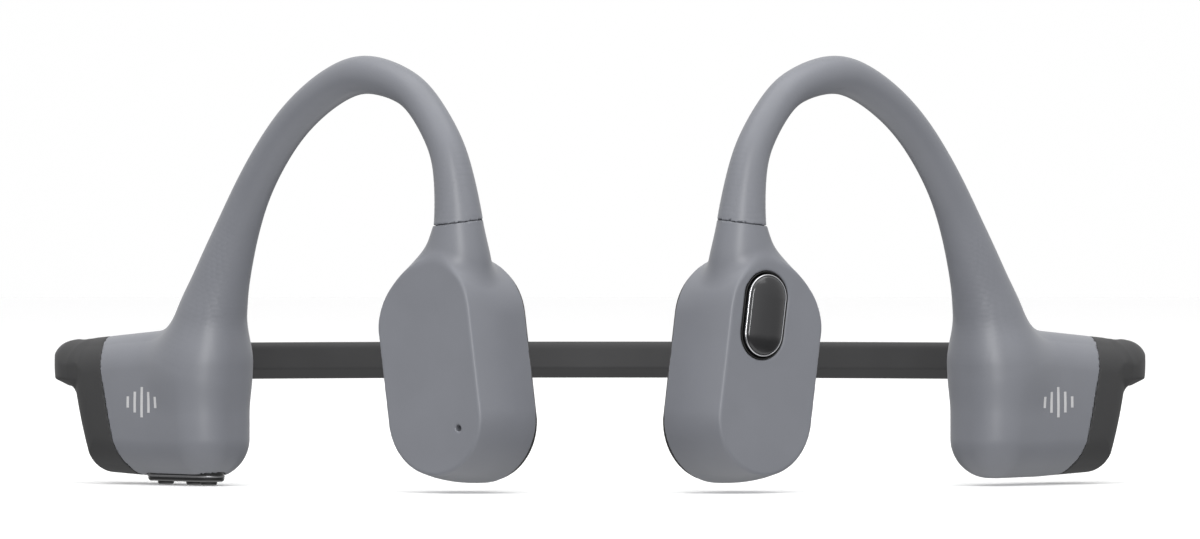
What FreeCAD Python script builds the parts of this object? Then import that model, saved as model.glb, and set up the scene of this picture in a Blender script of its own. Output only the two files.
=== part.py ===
"""Bone conduction headphones.

A neckband joins a battery pod and an electronics pod behind the ears. An ear hook rises from
each pod and ends in a transducer that rests in front of the ear.

Units are millimetres. X points to the wearer's left, Y to the back of the head and Z up. The
origin is on the surface that the headset stands on, under the middle of its bounding box.

Everything on one side is drawn flat, in side coordinates: u runs forward along the side, n
outward through its thickness and z up. The left side is then turned into place, and the right
side is its mirror image.
"""
import FreeCAD, Part
import json
import math
import os
from FreeCAD import Matrix, Vector

# ---- the two sides -------------------------------------------------------------------------------
SIDE_TURN = 45.0                    # each relaxed side is turned in this far from straight ahead
SIDE_X, SIDE_Y = 50.65, -8.0        # plan position of the pod's centre, where u is 0

# ---- neckband, in plan: each span turns from one heading to the next on one radius ---------------
BAND_SPANS = {"back": (0.0, 25.0, 90.0), "mid": (25.0, 50.0, 50.0), "side": (50.0, 90.0, 31.8)}
BAND_BACK_Y = 47.65                 # centreline at the back of the neck
BAND_Z = 13.8
BAND_HIGH, BAND_THICK = 4.45, 2.7
BAND_CHAMFER_HIGH, BAND_CHAMFER_DEEP = 1.25, 0.7
BAND_OUTER_ROUND, BAND_INNER_ROUND = 1.1, 0.7
STUB_TURN_END = 135.0
STUB_RADIUS = 10.7
STUB_HIGH = 5.0
STUB_TAIL = 0.5                     # the wire runs this far on into the pod
FLEX_GAP = 0.1                      # room between neighbouring spans at a flex point
WIRE_RADIUS = 0.6
WIRE_ROOM = 0.05                    # radial room round every wire

# ---- pod behind the ear --------------------------------------------------------------------------
POD_THICK = 10.0
POD_EDGE_ROUND = 4.3
POD_OUTLINE = ((-14.0, 16.7), (12.1, 18.75), (12.1, 0.8), (1.0, 0.9), (-9.9, 1.35))
POD_CORNERS = (4.5, 4.6, 4.8, 20.0, 4.5)
SKIN = 1.0
CASE_ROOM = 0.05
CASE_WALL = 0.85
BOOT_SEAM_TOP, BOOT_SEAM_FOOT = (-6.6, 17.5), (-2.2, 0.0)

# ---- ear hook: u, z and diameter along its centreline, from inside the pod to the seam on the neck ---
HOOK_REAR = ((6.6, 13.5, 9.3), (8.1, 18.5, 8.4), (9.5, 22.3, 7.0), (11.1, 26.0, 5.9), (13.2, 30.2, 4.9),
             (16.2, 35.1, 4.25), (20.7, 40.3, 4.1), (25.3, 43.8, 4.2), (29.8, 46.0, 4.3), (34.6, 46.85, 4.3))
HOOK_FRONT = ((34.6, 46.85, 4.3), (39.9, 45.7, 3.95), (43.5, 43.5, 3.8), (46.6, 39.8, 3.95),
              (48.4, 35.8, 4.4),
              (49.35, 30.6, 5.4))
APEX_U, APEX_Z = 34.6, 46.85
TWIST_GAP = 0.1

# ---- transducer ----------------------------------------------------------------------------------
EAR_U, EAR_Z = 48.0, 13.6           # centre of the transducer
EAR_TILT = 8.1                      # the top leans back
EAR_YAW = 9.0                       # the outer face turns forward from the side's plane
FACE_WIDE, FACE_HIGH, FACE_N = 12.8, 23.2, 3.6
FACE_SHIFT = -0.35                  # the outer face sits a little rearward of the rim
RIM_WIDE, RIM_HIGH, RIM_N = 14.8, 25.1, -3.3
BACK_N = -5.2                       # rear edge of the housing
PAD_N = -6.8                        # the pad's flat face, which rests on the skin
EAR_WALL = 1.1
FACE_EDGE_ROUND = 0.5
PAD_WIDE, PAD_HIGH = 13.6, 25.0
PAD_EDGE_ROUND = 1.1
NECK = ((49.35, 30.5, 5.45, 5.4), (49.25, 28.6, 6.9, 5.8), (48.95, 27.3, 8.2, 6.2), (48.5, 25.9, 10.0, 6.5),
        (47.7, 23.5, 11.6, 6.4), (47.2, 20.5, 11.8, 6.2))

# ---- driver, along n from the pad outward --------------------------------------------------------
DRIVER_Z = 11.3
PANEL_N = (-5.15, -4.2)
COIL_N = (-4.2, -1.9)
POLE_N, MAGNET_N, YOKE_N = (-2.1, -1.3), (-1.3, 0.0), (-2.6, 0.65)
FRAME_N = (-4.1, 0.9)
SPRING_N = (0.9, 1.05)
COIL_RADII, POLE_RADIUS, MAGNET_RADIUS, YOKE_RADII = (3.2, 3.6), 2.85, 2.7, (3.95, 4.7)
FRAME_BORE = 5.1
FRAME_WIDE, FRAME_HIGH = 10.8, 20.0
SPRING_RADII = (3.2, 5.3)

# ---- multifunction button on the left transducer -------------------------------------------------
KEY_U, KEY_Z = 48.8, 19.8
KEY_WIDE, KEY_HIGH = 5.2, 9.2
KEY_N = (2.8, 4.3)
SEAL_GAP, SEAL_WALL = 0.3, 0.2
SEAL_FLOOR_N = (1.9, 2.3)

# ---- microphone on the right transducer ----------------------------------------------------------
MIC_U, MIC_Z = 51.8, 7.3
MIC_PORT_RADIUS = 0.35

# ---- buttons under the right pod -----------------------------------------------------------------
PLATE_U, PLATE_WIDE, PLATE_LONG = 4.0, 3.6, 11.4
PLATE_Z = (0.45, 1.65)
SMALL_KEYS = {"volume_up_button": (7.85, 2.1), "volume_down_button": (5.5, 2.1), "mode_button": (0.5, 1.6)}
SMALL_KEY_WIDE = 1.9
SMALL_KEY_Z = (0.0, 1.4)
SMALL_KEY_GAP = 0.06
SMALL_KEY_TRAVEL = 0.3

# ---- charging port on the right pod's inner face -------------------------------------------------
PORT_U, PORT_Z = 2.0, 9.2
PORT_LONG, PORT_HIGH = 10.4, 4.2
PORT_DEEP = 0.6
PIN_RADIUS, PIN_PITCH, PIN_COUNT = 0.45, 1.6, 4

MIRROR = Matrix(-1, 0, 0, 0, 0, 1, 0, 0, 0, 0, 1, 0, 0, 0, 0, 1)


# ---- placing -------------------------------------------------------------------------------------
def side_matrix():
    """Carries side coordinates (u, n, z) to the left side of the headset."""
    s, c = math.sin(math.radians(SIDE_TURN)), math.cos(math.radians(SIDE_TURN))
    return Matrix(-s, c, 0, SIDE_X, -c, -s, 0, SIDE_Y, 0, 0, 1, 0, 0, 0, 0, 1)


def on_side(shape, side):
    placed = shape.copy()
    placed.transformShape(side_matrix())
    return mirrored(placed, side)


def mirrored(shape, side):
    return shape if side == "left" else shape.mirror(Vector(0, 0, 0), Vector(1, 0, 0))


def side_point(u, n, z, side):
    p = side_matrix().multVec(Vector(u, n, z))
    return [p.x if side == "left" else -p.x, p.y, p.z]


def side_direction(u, n, z, side):
    p = side_matrix().multVec(Vector(u, n, z)) - side_matrix().multVec(Vector(0, 0, 0))
    return [p.x if side == "left" else -p.x, p.y, p.z]


# ---- small shapes --------------------------------------------------------------------------------
def block(u, n, z):
    """A box between two values of each side coordinate."""
    return Part.makeBox(u[1] - u[0], n[1] - n[0], z[1] - z[0], Vector(u[0], n[0], z[0]))


def disc(u, z, radius, n):
    """A round bar along n."""
    return Part.makeCylinder(radius, n[1] - n[0], Vector(u, n[0], z), Vector(0, 1, 0))


def ring(u, z, radii, n):
    return disc(u, z, radii[1], n).cut(disc(u, z, radii[0], n))


def stadium_wire(u, z, wide, high, n, tilt=EAR_TILT):
    """A slot outline in the plane of constant n, with its long axis leaning back by tilt."""
    s, c = math.sin(math.radians(tilt)), math.cos(math.radians(tilt))
    r, h = wide / 2, (high - wide) / 2

    def at(across, along):
        return Vector(u + across * c - along * s, n, z + across * s + along * c)

    return Part.Wire([
        Part.LineSegment(at(r, -h), at(r, h)).toShape(),
        Part.Arc(at(r, h), at(0, h + r), at(-r, h)).toShape(),
        Part.LineSegment(at(-r, h), at(-r, -h)).toShape(),
        Part.Arc(at(-r, -h), at(0, -h - r), at(r, -h)).toShape(),
    ])


def stadium(u, z, wide, high, n, tilt=EAR_TILT):
    """A slot-shaped bar along n."""
    return Part.Face(stadium_wire(u, z, wide, high, n[0], tilt)).extrude(Vector(0, n[1] - n[0], 0))


def flat_stadium(u, long, wide, z):
    """A slot-shaped bar along z, with its long axis along u."""
    bar = stadium(0, 0, wide, long, (0, z[1] - z[0]), 0)
    bar.rotate(Vector(0, 0, 0), Vector(0, 1, 0), 90)
    bar.rotate(Vector(0, 0, 0), Vector(1, 0, 0), 90)
    bar.translate(Vector(u, 0, z[0]))
    return bar


def oval_wire(u, z, pitch, across, thick):
    """A closed oval round a centreline in the plane n = 0, square to its pitch."""
    count = 16
    points = []
    for i in range(count):
        turn = 2 * math.pi * i / count
        a, n = across / 2 * math.cos(turn), thick / 2 * math.sin(turn)
        points.append(Vector(u - a * math.sin(pitch), n, z + a * math.cos(pitch)))
    curve = Part.BSplineCurve()
    curve.interpolate(Points=points, PeriodicFlag=True)
    return Part.Wire(curve.toShape())


def tangent_arcs(points, share=0.45):
    """Straight runs joined by tangent arcs, each as large as its two runs allow."""
    runs = [(b - a).Length for a, b in zip(points, points[1:])]
    edges, start = [], points[0]
    for i in range(1, len(points) - 1):
        corner = points[i]
        back = (points[i - 1] - corner).normalize()
        ahead = (points[i + 1] - corner).normalize()
        reach = share * min(runs[i - 1], runs[i])
        half = (math.pi - back.getAngle(ahead)) / 2
        radius = reach / math.tan(half)
        middle = (back + ahead).normalize()
        centre = corner + middle * (radius / math.cos(half))
        first, last = corner + back * reach, corner + ahead * reach
        edges.append(Part.LineSegment(start, first).toShape())
        edges.append(Part.Arc(first, centre - middle * radius, last).toShape())
        start = last
    edges.append(Part.LineSegment(start, points[-1]).toShape())
    return Part.Wire(edges)


def rod(points, radius):
    """A round wire along a route of straight runs and tangent arcs."""
    path = tangent_arcs(points)
    along = (points[1] - points[0]).normalize()
    section = Part.Wire(Part.Circle(points[0], along, radius).toShape())
    return path.makePipeShell([section], True, False)


def fillet_at(solid, radius, n):
    """Rounds the edges that lie in the planes of these n values."""
    edges = [e for e in solid.Edges if any(abs(e.CenterOfMass.y - v) < 1e-4 for v in n)
             and all(abs(p.Point.y - e.CenterOfMass.y) < 1e-4 for p in e.Vertexes)]
    return solid.makeFillet(radius, edges)


# ---- neckband ------------------------------------------------------------------------------------
def band_state(turn):
    """Plan position on the left half of the neckband's centreline where the heading has turned this far."""
    x, y = 0.0, BAND_BACK_Y
    for start, end, radius in [*BAND_SPANS.values(), (90.0, STUB_TURN_END, STUB_RADIUS)]:
        stop = min(turn, end)
        if stop > start:
            a, b = math.radians(start), math.radians(stop)
            x += radius * (math.sin(b) - math.sin(a))
            y += radius * (math.cos(b) - math.cos(a))
    return x, y


def outward(turn):
    a = math.radians(turn)
    return Vector(math.sin(a), math.cos(a), 0)


def band_profile(turn, high, thick):
    """The neckband's section: round above, flat towards the neck and chamfered under its inner edge."""
    x, y = band_state(turn)
    centre, out = Vector(x, y, BAND_Z), outward(turn)
    r, h = thick / 2, high / 2
    k = 1 - math.sqrt(0.5)

    def at(across, up):
        return centre + out * across + Vector(0, 0, up)

    ro, ri = BAND_OUTER_ROUND, BAND_INNER_ROUND
    return Part.Wire([
        Part.LineSegment(at(r, -h), at(r, h - ro)).toShape(),
        Part.Arc(at(r, h - ro), at(r - ro * k, h - ro * k), at(r - ro, h)).toShape(),
        Part.LineSegment(at(r - ro, h), at(ri - r, h)).toShape(),
        Part.Arc(at(ri - r, h), at(ri * k - r, h - ri * k), at(-r, h - ri)).toShape(),
        Part.LineSegment(at(-r, h - ri), at(-r, BAND_CHAMFER_HIGH - h)).toShape(),
        Part.LineSegment(at(-r, BAND_CHAMFER_HIGH - h), at(BAND_CHAMFER_DEEP - r, -h)).toShape(),
        Part.LineSegment(at(BAND_CHAMFER_DEEP - r, -h), at(r, -h)).toShape(),
    ])


def bend(face, start, end, radius):
    """Turns a section about the vertical axis of the band's arc."""
    x, y = band_state(start)
    centre = Vector(x, y, 0) - outward(start) * radius
    return face.revolve(centre, Vector(0, 0, 1), start - end)


def wire_section(turn, radius):
    x, y = band_state(turn)
    along = Vector(outward(turn).y, -outward(turn).x, 0)
    return Part.Face(Part.Wire(Part.Circle(Vector(x, y, BAND_Z), along, radius).toShape()))


def band_span(name):
    """The silicone sleeve and the titanium wire of one span of the neckband."""
    start, end, radius = BAND_SPANS[name]
    trim = math.degrees(FLEX_GAP / 2 / radius)
    start, end = (-end + trim, end - trim) if name == "back" else (start + trim, end - trim)
    if name == "back":
        x, y = 0.0, BAND_BACK_Y
        centre = Vector(x, y - radius, 0)
        profile = Part.Face(band_profile(0, BAND_HIGH, BAND_THICK))
        hole, core = wire_section(0, WIRE_RADIUS + WIRE_ROOM), wire_section(0, WIRE_RADIUS)
        solids = []
        for face in (profile.cut(hole), core):
            face.rotate(centre, Vector(0, 0, 1), -start)
            solids.append(face.revolve(centre, Vector(0, 0, 1), start - end))
        return solids
    profile = Part.Face(band_profile(start, BAND_HIGH, BAND_THICK))
    hole, core = wire_section(start, WIRE_RADIUS + WIRE_ROOM), wire_section(start, WIRE_RADIUS)
    return [bend(face, start, end, radius) for face in (profile.cut(hole), core)]


def stub(radius_room=0.0, wire=False):
    """The last bend of the neckband, which runs into the pod. It is made on the left side, in place."""
    trim = math.degrees(FLEX_GAP / 2 / STUB_RADIUS)
    start = BAND_SPANS["side"][1] + trim
    if wire:
        face = wire_section(start, WIRE_RADIUS + radius_room)
    else:
        face = Part.Face(band_profile(start, STUB_HIGH, BAND_THICK))
    bent = bend(face, start, STUB_TURN_END, STUB_RADIUS)
    if not wire:
        return bent
    x, y = band_state(STUB_TURN_END)
    ahead = Vector(outward(STUB_TURN_END).y, -outward(STUB_TURN_END).x, 0)
    tail = Part.makeCylinder(WIRE_RADIUS + radius_room, STUB_TAIL, Vector(x, y, BAND_Z), ahead)
    return bent.fuse(tail).removeSplitter()


def into_side(shape):
    """Takes a shape made in place on the left back into side coordinates."""
    moved = shape.copy()
    moved.transformShape(side_matrix().inverse())
    return moved


# ---- pods ----------------------------------------------------------------------------------------
def pod_body(inset):
    """The pod's rounded box, drawn in by inset on every side."""
    corners = [Vector(u, 0, z) for u, z in POD_OUTLINE]
    edges, ends = [], []
    for i, corner in enumerate(corners):
        back = (corners[i - 1] - corner).normalize()
        ahead = (corners[(i + 1) % len(corners)] - corner).normalize()
        half = back.getAngle(ahead) / 2
        reach = POD_CORNERS[i] / math.tan(half)
        middle = (back + ahead).normalize()
        centre = corner + middle * (POD_CORNERS[i] / math.sin(half))
        nearest = centre - middle * POD_CORNERS[i]
        edges.append(Part.Arc(corner + back * reach, nearest, corner + ahead * reach).toShape())
        ends.append((corner + back * reach, corner + ahead * reach))
    for i, (first, last) in enumerate(ends):
        edges.append(Part.LineSegment(last, ends[(i + 1) % len(ends)][0]).toShape())
    outline = Part.Wire(Part.__sortEdges__(edges))
    if inset:
        outline = outline.makeOffset2D(-inset)
    half_thick = POD_THICK / 2 - inset
    face = Part.Face(outline)
    face.translate(Vector(0, -half_thick, 0))
    solid = face.extrude(Vector(0, 2 * half_thick, 0))
    return fillet_at(solid, POD_EDGE_ROUND - inset, (-half_thick, half_thick))


def seam_halves():
    """The half spaces in front of and behind the seam between the grey skin and the dark boot."""
    top = Vector(BOOT_SEAM_TOP[0], -20, BOOT_SEAM_TOP[1])
    foot = Vector(BOOT_SEAM_FOOT[0], -20, BOOT_SEAM_FOOT[1])
    along = (top - foot).normalize()
    top, foot = top + along * 20, foot - along * 20
    front = Part.makePolygon([foot, foot + Vector(60, 0, 0), top + Vector(60, 0, 0), top, foot])
    rear = Part.makePolygon([foot, foot - Vector(60, 0, 0), top - Vector(60, 0, 0), top, foot])
    return [Part.Face(w).extrude(Vector(0, 40, 0)) for w in (front, rear)]


def hook_loft(stations):
    """A round bar that swells and thins along the hook's centreline."""
    spine = Part.BSplineCurve()
    every = [*HOOK_REAR, *HOOK_FRONT[1:]]
    spine.interpolate([Vector(u, 0, z) for u, z, _ in every])
    wires = []
    for u, z, wide in stations:
        tangent = spine.tangent(spine.parameter(Vector(u, 0, z)))[0]
        wires.append(oval_wire(u, z, math.atan2(tangent.z, tangent.x), wide, wide))
    return Part.makeLoft(wires, True, False)


def hook_route(stations):
    return [Vector(u, 0, z) for u, z, _ in stations]


def rear_wire(room=0.0):
    route = [*hook_route(HOOK_REAR)[:-1], Vector(APEX_U + 0.5, 0, APEX_Z)]
    return rod(route, WIRE_RADIUS + room).common(apex_cut(False))


def front_wire(room=0.0):
    start, tip = Vector(APEX_U - 0.5, 0, APEX_Z), Vector(49.2, 0, 25.2)
    return rod([start, *hook_route(HOOK_FRONT)[1:], tip], WIRE_RADIUS + room).common(apex_cut(True))


def apex_cut(front):
    """Everything on one side of the plane across the hook's apex."""
    u = (APEX_U + TWIST_GAP / 2, APEX_U + 60) if front else (APEX_U - 60, APEX_U - TWIST_GAP / 2)
    return block(u, (-20, 20), (-5, 60))


def pod_skin(side):
    """The grey silicone skin over the front of the pod, in one moulding with the rear leg of the hook."""
    front, _ = seam_halves()
    body = pod_body(0).common(front).fuse(hook_loft(HOOK_REAR).common(apex_cut(False)))
    body = body.cut(pod_body(SKIN)).cut(rear_wire(WIRE_ROOM))
    if side == "right":
        body = body.cut(flat_stadium(PLATE_U, PLATE_LONG + 0.1, PLATE_WIDE + 0.1, (-1, 3)))
        body = body.cut(port_plug(0.05))
    return body


def pod_boot():
    """The dark silicone boot over the back of the pod, in one moulding with the last bend of the neckband."""
    _, rear = seam_halves()
    body = pod_body(0).common(rear).fuse(into_side(stub()))
    return body.cut(pod_body(SKIN)).cut(into_side(stub(WIRE_ROOM, True)))


def pod_case(side):
    """The rigid case under the skin."""
    outside, inside = pod_body(SKIN + CASE_ROOM), pod_body(SKIN + CASE_ROOM + CASE_WALL)
    case = outside.cut(inside).cut(rear_wire(WIRE_ROOM)).cut(into_side(stub(WIRE_ROOM, True)))
    if side == "right":
        case = case.cut(block((PLATE_U - 5.4, PLATE_U + 5.4), (-1.6, 1.6), (0, 4)))
        case = case.cut(port_plug(0.05))
    return case


def battery_cell():
    cell = block((-8.6, 5.2), (-2.5, 2.5), (4.9, 13.3))
    return cell.makeFillet(1.2, [e for e in cell.Edges if abs(e.CenterOfMass.z - 9.1) < 0.1])


def battery_board():
    return block((5.9, 6.5), (-2.4, 2.4), (4.6, 12.6))


def port_plug(room):
    """The charging port's insert, through the skin and the case on the inner face, with room round it."""
    n = (-POD_THICK / 2 - 1, -POD_THICK / 2 + SKIN + CASE_ROOM + CASE_WALL)
    return stadium(PORT_U, PORT_Z, PORT_HIGH + 2 * room, PORT_LONG + 2 * room, n, 90)


def pin_places():
    return [PORT_U + (i - (PIN_COUNT - 1) / 2) * PIN_PITCH for i in range(PIN_COUNT)]


def charging_port():
    """The insert that carries the charging pins, sunk a little below the pod's inner face."""
    n = (-POD_THICK / 2 + PORT_DEEP, -POD_THICK / 2 + SKIN + CASE_ROOM + CASE_WALL)
    insert = stadium(PORT_U, PORT_Z, PORT_HIGH, PORT_LONG, n, 90)
    for u in pin_places():
        insert = insert.cut(disc(u, PORT_Z, PIN_RADIUS, (-6, 0)))
    for u in (-3.9, 3.9):
        insert = insert.cut(disc(PORT_U + u, PORT_Z, 0.85, (n[0] + 0.4, 0)))
    return insert


def charging_pins():
    n = (-POD_THICK / 2 + PORT_DEEP, -POD_THICK / 2 + SKIN + CASE_ROOM + CASE_WALL + 0.4)
    return Part.makeCompound([disc(u, PORT_Z, PIN_RADIUS, n) for u in pin_places()])


def charging_magnets():
    n = (-POD_THICK / 2 + PORT_DEEP + 0.4, -POD_THICK / 2 + SKIN + CASE_ROOM + CASE_WALL)
    return Part.makeCompound([disc(PORT_U + u, PORT_Z, 0.85, n) for u in (-3.9, 3.9)])


def main_board():
    return block((-8.2, 7.0), (-2.4, -1.7), (5.0, 12.8))


def shield_can():
    return block((-7.2, 0.5), (-1.7, -0.3), (5.6, 12.2))


def button_plate():
    plate = flat_stadium(PLATE_U, PLATE_LONG, PLATE_WIDE, PLATE_Z)
    for u, long in SMALL_KEYS.values():
        plate = plate.cut(small_key_bar(u, long, SMALL_KEY_GAP, (-1, 3)))
    return plate


def small_key_bar(u, long, room, z):
    bar = block((u - long / 2 - room, u + long / 2 + room),
                (-SMALL_KEY_WIDE / 2 - room, SMALL_KEY_WIDE / 2 + room), z)
    return bar.makeFillet(0.5, [e for e in bar.Edges if abs(e.CenterOfMass.z - sum(z) / 2) < 1e-6])


def small_key(name):
    u, long = SMALL_KEYS[name]
    key = small_key_bar(u, long, 0, SMALL_KEY_Z)
    rim = [e for e in key.Edges if abs(e.CenterOfMass.z - SMALL_KEY_Z[0]) < 1e-6]
    return key.makeFillet(0.2, rim)


def key_switches():
    """One tactile switch above each small key."""
    z = (SMALL_KEY_Z[1] + SMALL_KEY_TRAVEL + 0.15, 2.75)
    return Part.makeCompound([block((u - 0.75, u + 0.75), (-0.7, 0.7), z) for u, _ in SMALL_KEYS.values()])


def switch_board():
    return block((PLATE_U - 5.1, PLATE_U + 5.1), (-1.4, 1.4), (2.75, 3.15))


# ---- transducers ---------------------------------------------------------------------------------
def tapered(inset, n):
    """The housing's tapered body, drawn in by inset, between two values of n."""
    def wire(at):
        share = (FACE_N - at) / (FACE_N - RIM_N)
        wide = FACE_WIDE + (RIM_WIDE - FACE_WIDE) * share
        high = FACE_HIGH + (RIM_HIGH - FACE_HIGH) * share
        return stadium_wire(EAR_U + FACE_SHIFT * (1 - share), EAR_Z, wide - 2 * inset, high - 2 * inset, at)

    return Part.makeLoft([wire(n[0]), wire(n[1])], True, True)


def neck_loft():
    rings = [oval_wire(u, z, math.pi / 2, across, thick) for u, z, across, thick in NECK]
    return Part.makeLoft(rings, True, False)


def ear_turned(shape):
    """Turns a shape from the transducer's own plane into side coordinates."""
    shape.rotate(Vector(EAR_U, 0, 0), Vector(0, 0, 1), -EAR_YAW)
    return shape


def ear_housing(side):
    """The grey housing of the transducer, open towards the pad."""
    body = fillet_at(tapered(0, (RIM_N, FACE_N)), FACE_EDGE_ROUND, (FACE_N,))
    rim = stadium(EAR_U, EAR_Z, RIM_WIDE, RIM_HIGH, (BACK_N, RIM_N))
    body = ear_turned(body.fuse(rim)).fuse(neck_loft())
    cavity = tapered(EAR_WALL, (RIM_N, FACE_N - EAR_WALL))
    mouth = stadium(EAR_U, EAR_Z, RIM_WIDE - 2 * EAR_WALL, RIM_HIGH - 2 * EAR_WALL, (BACK_N - 1, RIM_N))
    body = body.cut(ear_turned(cavity.fuse(mouth))).cut(front_wire(WIRE_ROOM))
    if side == "left":
        room = 2 * (SEAL_GAP + SEAL_WALL) + 0.1
        recess = stadium(KEY_U, KEY_Z, KEY_WIDE + room, KEY_HIGH + room, (1, 5))
        return body.cut(ear_turned(recess))
    return body.cut(ear_turned(disc(MIC_U, MIC_Z, MIC_PORT_RADIUS, (2, 5))))


def ear_point(u, n, z, origin=0.0):
    """A point of the transducer's own plane in side coordinates, measured along u from an origin."""
    s, c = math.sin(math.radians(EAR_YAW)), math.cos(math.radians(EAR_YAW))
    return EAR_U + (u - EAR_U) * c + n * s - origin, n * c - (u - EAR_U) * s, z


def ear_pad():
    """The dark silicone pad that rests on the cheekbone."""
    pad = stadium(EAR_U, EAR_Z, PAD_WIDE, PAD_HIGH, (PAD_N, BACK_N))
    return fillet_at(pad, PAD_EDGE_ROUND, (PAD_N,))


def axis_u(z):
    """Where the transducer's leaning axis passes at a height."""
    return EAR_U - (z - EAR_Z) * math.tan(math.radians(EAR_TILT))


def driver_parts():
    """The driver that shakes the pad: names to solids."""
    u, z = axis_u(DRIVER_Z), DRIVER_Z
    frame = stadium(EAR_U, EAR_Z, FRAME_WIDE, FRAME_HIGH, FRAME_N).cut(disc(u, z, FRAME_BORE, (-5, 3)))
    frame = frame.cut(stadium(axis_u(20.6), 20.6, 5.0, 6.0, (-5, 3)))
    yoke = disc(u, z, YOKE_RADII[1], YOKE_N).cut(disc(u, z, YOKE_RADII[0], (YOKE_N[0], MAGNET_N[1])))
    spring = ring(u, z, SPRING_RADII, SPRING_N)
    for turn in (0, 120, 240):
        slot = Part.makeBox(1.6, 2.0, 0.5, Vector(3.9, SPRING_N[0] - 0.5, -0.25))
        slot.rotate(Vector(0, 0, 0), Vector(0, 1, 0), turn)
        slot.translate(Vector(u, 0, z))
        spring = spring.cut(slot)
    return {
        "vibration_panel": stadium(EAR_U, EAR_Z, 12.0, 21.0, PANEL_N),
        "driver_frame": frame,
        "leaf_spring": spring,
        "voice_coil": ring(u, z, COIL_RADII, COIL_N),
        "driver_yoke": yoke,
        "driver_magnet": disc(u, z, MAGNET_RADIUS, MAGNET_N),
        "pole_plate": disc(u, z, POLE_RADIUS, POLE_N),
    }


def multifunction_button():
    key = stadium(KEY_U, KEY_Z, KEY_WIDE, KEY_HIGH, KEY_N)
    return fillet_at(key, 0.45, (KEY_N[1],))


def multifunction_seal():
    """The dark cup that the button sits in."""
    inner, outer = 2 * SEAL_GAP, 2 * (SEAL_GAP + SEAL_WALL)
    cup = stadium(KEY_U, KEY_Z, KEY_WIDE + outer, KEY_HIGH + outer, (SEAL_FLOOR_N[0], FACE_N))
    hollow = stadium(KEY_U, KEY_Z, KEY_WIDE + inner, KEY_HIGH + inner, (SEAL_FLOOR_N[1], FACE_N + 1))
    return cup.cut(hollow)


def multifunction_switch():
    return block((KEY_U - 1.7, KEY_U + 1.7), (SPRING_N[1] + 0.1, SEAL_FLOOR_N[0]), (KEY_Z - 1.9, KEY_Z + 1.9))


def microphone():
    return block((MIC_U - 1.9, MIC_U + 0.9), (1.2, 2.2), (MIC_Z - 0.9, MIC_Z + 1.9))


def microphone_mesh():
    return disc(MIC_U, MIC_Z, MIC_PORT_RADIUS + 0.35, (2.2, FACE_N - EAR_WALL))


# ---- assembly ------------------------------------------------------------------------------------
def side_nodes(side):
    """Every node of one side, in place."""
    nodes = {
        "pod_skin": pod_skin(side),
        "pod_boot": pod_boot(),
        "pod_case": pod_case(side),
        "band_wire_end": into_side(stub(0, True)),
        "hook_wire_rear": rear_wire(),
        "hook_front": hook_loft(HOOK_FRONT).common(apex_cut(True)).cut(front_wire(WIRE_ROOM)),
        "hook_wire_front": front_wire(),
        "transducer_housing": ear_housing(side),
        "transducer_pad": ear_turned(ear_pad()),
        **{name: ear_turned(solid) for name, solid in driver_parts().items()},
    }
    if side == "left":
        nodes.update({"battery_cell": battery_cell(), "battery_board": battery_board()})
    named = {f"{side}_{name}": on_side(solid, side) for name, solid in nodes.items()}
    for span in ("mid", "side"):
        sleeve, core = band_span(span)
        named[f"{side}_band_sleeve_{span}"] = mirrored(sleeve, side)
        named[f"{side}_band_wire_{span}"] = mirrored(core, side)
    return named


def single_nodes():
    """The nodes that only one side or the back has, in place."""
    sleeve, core = band_span("back")
    named = {"band_sleeve_back": sleeve, "band_wire_back": core}
    left = {"multifunction_button": ear_turned(multifunction_button()),
            "multifunction_seal": ear_turned(multifunction_seal()),
            "multifunction_switch": ear_turned(multifunction_switch())}
    right = {"charging_port": charging_port(), "charging_pins": charging_pins(),
             "charging_magnets": charging_magnets(), "main_board": main_board(), "shield_can": shield_can(),
             "button_plate": button_plate(), "key_switches": key_switches(),
             "switch_board": switch_board(), "microphone": ear_turned(microphone()),
             "microphone_mesh": ear_turned(microphone_mesh())}
    right.update({name: small_key(name) for name in SMALL_KEYS})
    named.update({name: on_side(solid, "left") for name, solid in left.items()})
    named.update({name: on_side(solid, "right") for name, solid in right.items()})
    return named


def reference():
    """Joint axes and mount places in the row frame, in millimetres, for the record."""
    facts = {}
    for side in ("left", "right"):
        sign = 1 if side == "left" else -1
        for number, turn in enumerate((25.0, 50.0, 90.0), 1):
            x, y = band_state(turn)
            edge = Vector(x, y, BAND_Z) + outward(turn) * (BAND_THICK / 2)
            facts[f"{side}_flex_{number}"] = {"pos": [sign * edge.x, edge.y, edge.z], "axis": [0, 0, sign]}
        facts[f"{side}_twist"] = {"pos": side_point(APEX_U, 0, APEX_Z, side),
                                  "axis": side_direction(1, 0, 0, side)}
        inward = side_direction(*ear_point(EAR_U, -1, 0, EAR_U), side)
        facts[f"{side}_driver"] = {"pos": side_point(*ear_point(axis_u(DRIVER_Z), 0, DRIVER_Z), side),
                                   "axis": [-v for v in inward]}
        facts[f"{side}_pad_face"] = {"pos": side_point(*ear_point(EAR_U, PAD_N, EAR_Z), side), "axis": inward}
    facts["multifunction"] = {"pos": side_point(*ear_point(KEY_U, KEY_N[1], KEY_Z), "left"),
                              "axis": side_direction(*ear_point(EAR_U, -1, 0, EAR_U), "left")}
    facts["charging_face"] = {"pos": side_point(PORT_U, -POD_THICK / 2 + PORT_DEEP, PORT_Z + 1.3, "right"),
                              "axis": side_direction(0, -1, 0, "right")}
    return facts


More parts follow.
